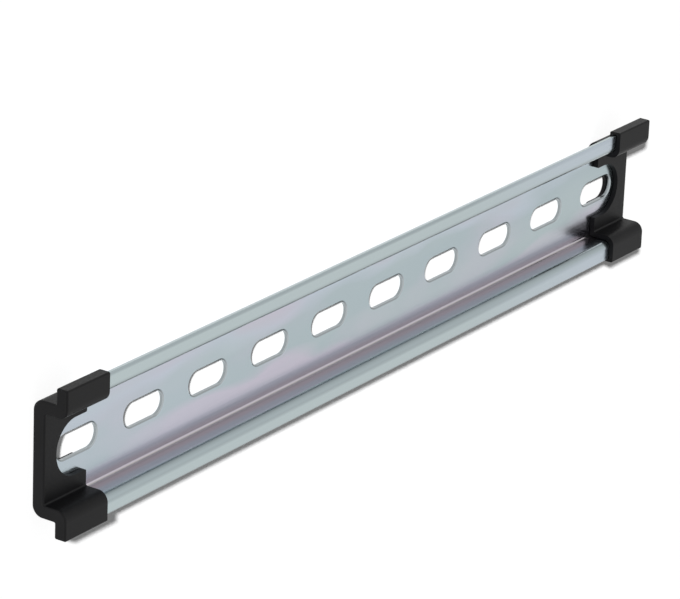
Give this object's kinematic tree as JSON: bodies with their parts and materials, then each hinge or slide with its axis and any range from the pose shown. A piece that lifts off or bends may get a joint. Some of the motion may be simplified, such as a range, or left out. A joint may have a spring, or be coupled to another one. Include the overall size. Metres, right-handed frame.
{
  "type": "din rail",
  "caption": "Slotted top-hat mounting rail, 35 mm by 7.5 mm, in zinc-plated steel, with a black plastic cap over each end.",
  "frame": {"origin": "on the floor under the middle of the rail, in the plane of the caps' back faces", "axes": "+X along the rail, +Y across it, +Z out of the channel's mouth"},
  "size_m": [0.2518, 0.0366, 0.0098],
  "materials": {
    "zinc_plated_steel": "blue-passivated zinc plate, semi-gloss",
    "black_plastic": "moulded, satin"
  },
  "bodies": {
    "root": {"mounting_rail": "zinc_plated_steel", "end_cap_left": "black_plastic", "end_cap_right": "black_plastic"}
  },
  "joints": []
}
